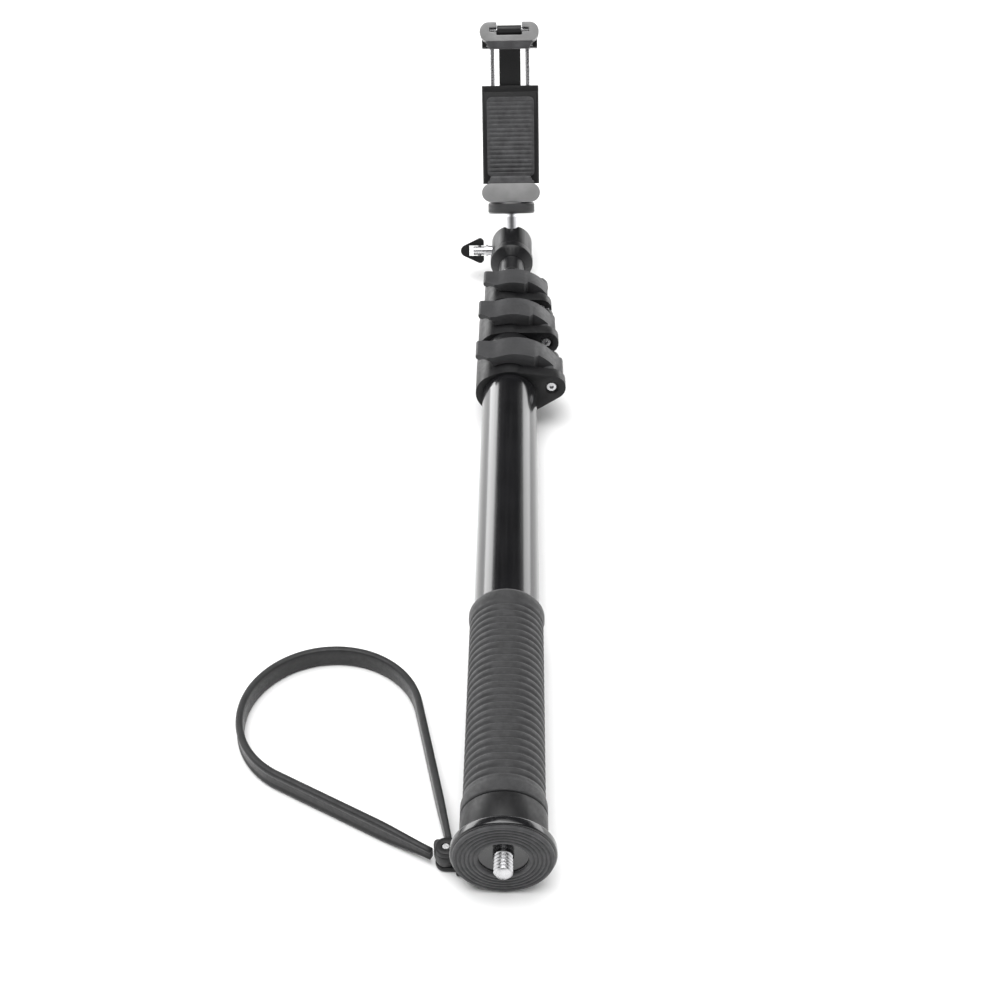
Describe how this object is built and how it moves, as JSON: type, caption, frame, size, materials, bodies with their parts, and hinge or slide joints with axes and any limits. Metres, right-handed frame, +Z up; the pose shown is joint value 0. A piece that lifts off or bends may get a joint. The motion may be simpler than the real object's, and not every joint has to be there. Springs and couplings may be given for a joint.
{
  "type": "selfie stick",
  "caption": "Hand-held telescopic pole with flip locks, a ball head, a phone clamp that opens and folds, a camera platform at the butt and a wrist strap.",
  "frame": {"origin": "on the pole's axis at the outer face of the camera platform, at the butt", "axes": "+Y along the pole from the butt to the phone clamp, +Z up, which is the side that faces the user, +X to the right as the user looks along the pole"},
  "size_m": [0.1195, 0.4469, 0.1196],
  "materials": {
    "anodised_black": "gloss black anodised aluminium",
    "black_plastic": "satin moulded",
    "lever_plastic": "satin dark grey",
    "grip_rubber": "matt ribbed",
    "strap_rubber": "matt",
    "pad_rubber": "matt",
    "jaw_grey": "satin mid grey",
    "steel": "bright",
    "chrome": "polished",
    "brass": "machined",
    "nylon": "natural nylon"
  },
  "bodies": {
    "pole": {"hand_tube": "anodised_black", "hand_grip": "grip_rubber", "butt_collar": "black_plastic", "camera_platform": "anodised_black", "platform_pad": "grip_rubber", "camera_screw": "steel", "strap_pin": "steel", "lock_1_collar": "black_plastic", "lock_1_pivot": "steel", "lock_1_shoe": "nylon", "lock_1_nut": "steel"},
    "strap": {"wrist_strap": "strap_rubber"},
    "lever_1": {"lock_1_lever": "lever_plastic"},
    "second_section": {"second_tube": "anodised_black", "second_glide": "nylon", "lock_2_collar": "black_plastic", "lock_2_pivot": "steel", "lock_2_shoe": "nylon", "lock_2_nut": "steel"},
    "lever_2": {"lock_2_lever": "lever_plastic"},
    "third_section": {"third_tube": "anodised_black", "third_glide": "nylon", "lock_3_collar": "black_plastic", "lock_3_pivot": "steel", "lock_3_shoe": "nylon", "lock_3_nut": "steel"},
    "lever_3": {"lock_3_lever": "lever_plastic"},
    "tip_section": {"tip_tube": "anodised_black", "tip_glide": "nylon", "head_base": "anodised_black", "head_screw": "steel"},
    "ball_housing": {"ball_housing": "anodised_black", "ball_seat": "nylon", "ball_brake": "nylon"},
    "knob": {"knob_screw": "steel", "knob_pin": "steel"},
    "knob_ring": {"knob_ring": "black_plastic"},
    "ball": {"ball_stem": "chrome"},
    "lock_wheel": {"lock_wheel": "anodised_black"},
    "clamp": {"lower_jaw": "jaw_grey", "lower_pad": "pad_rubber", "back_pad": "pad_rubber", "thread_insert": "brass", "rear_insert": "brass", "clamp_housing": "black_plastic", "housing_cap": "black_plastic", "clamp_springs": "steel"},
    "clamp_slider": {"clamp_slider": "black_plastic", "guide_rods": "steel", "slider_screws": "steel", "jaw_hinge_pin": "steel"},
    "upper_jaw": {"upper_jaw": "jaw_grey", "upper_pad": "pad_rubber"}
  },
  "joints": [
    {"name": "strap_swing", "type": "hinge", "parent": "pole", "child": "strap", "pos_m": [-0.0185, 0.011, -0.0126], "axis": [0, 0, 1], "range_deg": [-12, 90]},
    {"name": "lever_1_flip", "type": "hinge", "parent": "pole", "child": "lever_1", "pos_m": [0.0184, 0.263, 0.0052], "axis": [0, 1, 0], "range_deg": [0, 100]},
    {"name": "lever_2_flip", "type": "hinge", "parent": "second_section", "child": "lever_2", "pos_m": [0.0162, 0.2966, 0.0065], "axis": [0, 1, 0], "range_deg": [0, 100]},
    {"name": "lever_3_flip", "type": "hinge", "parent": "third_section", "child": "lever_3", "pos_m": [0.014, 0.3271, 0.0056], "axis": [0, 1, 0], "range_deg": [0, 100]},
    {"name": "second_slide", "type": "slide", "parent": "pole", "child": "second_section", "axis": [0, 1, 0], "range_m": [0, 0.2]},
    {"name": "third_slide", "type": "slide", "parent": "second_section", "child": "third_section", "axis": [0, 1, 0], "range_m": [0, 0.2]},
    {"name": "tip_slide", "type": "slide", "parent": "third_section", "child": "tip_section", "axis": [0, 1, 0], "range_m": [0, 0.2]},
    {"name": "head_pan", "type": "hinge", "parent": "tip_section", "child": "ball_housing", "pos_m": [0, 0.3822, 0], "axis": [0, 1, 0], "continuous": true},
    {"name": "stem_tilt", "type": "hinge", "parent": "ball_housing", "child": "ball", "pos_m": [0, 0.3822, 0], "axis": [0.9993, 0, 0.0384], "range_deg": [-84, 0]},
    {"name": "knob_spin", "type": "hinge", "parent": "ball_housing", "child": "knob", "pos_m": [-0.01279, 0.38, -0.00049], "axis": [-0.9993, 0, -0.0384], "continuous": true},
    {"name": "ring_fold", "type": "hinge", "parent": "knob", "child": "knob_ring", "pos_m": [-0.01659, 0.38, -0.00064], "axis": [-0.0339, 0.4695, 0.8823], "range_deg": [-90, 90]},
    {"name": "wheel_spin", "type": "hinge", "parent": "ball", "child": "lock_wheel", "pos_m": [-0.00068, 0.39159, 0.01765], "axis": [-0.0339, 0.4695, 0.8823], "continuous": true},
    {"name": "clamp_spin", "type": "hinge", "parent": "ball", "child": "clamp", "pos_m": [-0.00092, 0.39488, 0.02382], "axis": [-0.0339, 0.4695, 0.8823], "continuous": true},
    {"name": "jaw_slide", "type": "slide", "parent": "clamp", "child": "clamp_slider", "axis": [-0.0339, 0.4695, 0.8823], "range_m": [-0.017, 0.012]},
    {"name": "jaw_fold", "type": "hinge", "parent": "clamp_slider", "child": "upper_jaw", "pos_m": [-0.00375, 0.42638, 0.09751], "axis": [-0.9993, 0, -0.0384], "range_deg": [0, 90]}
  ]
}
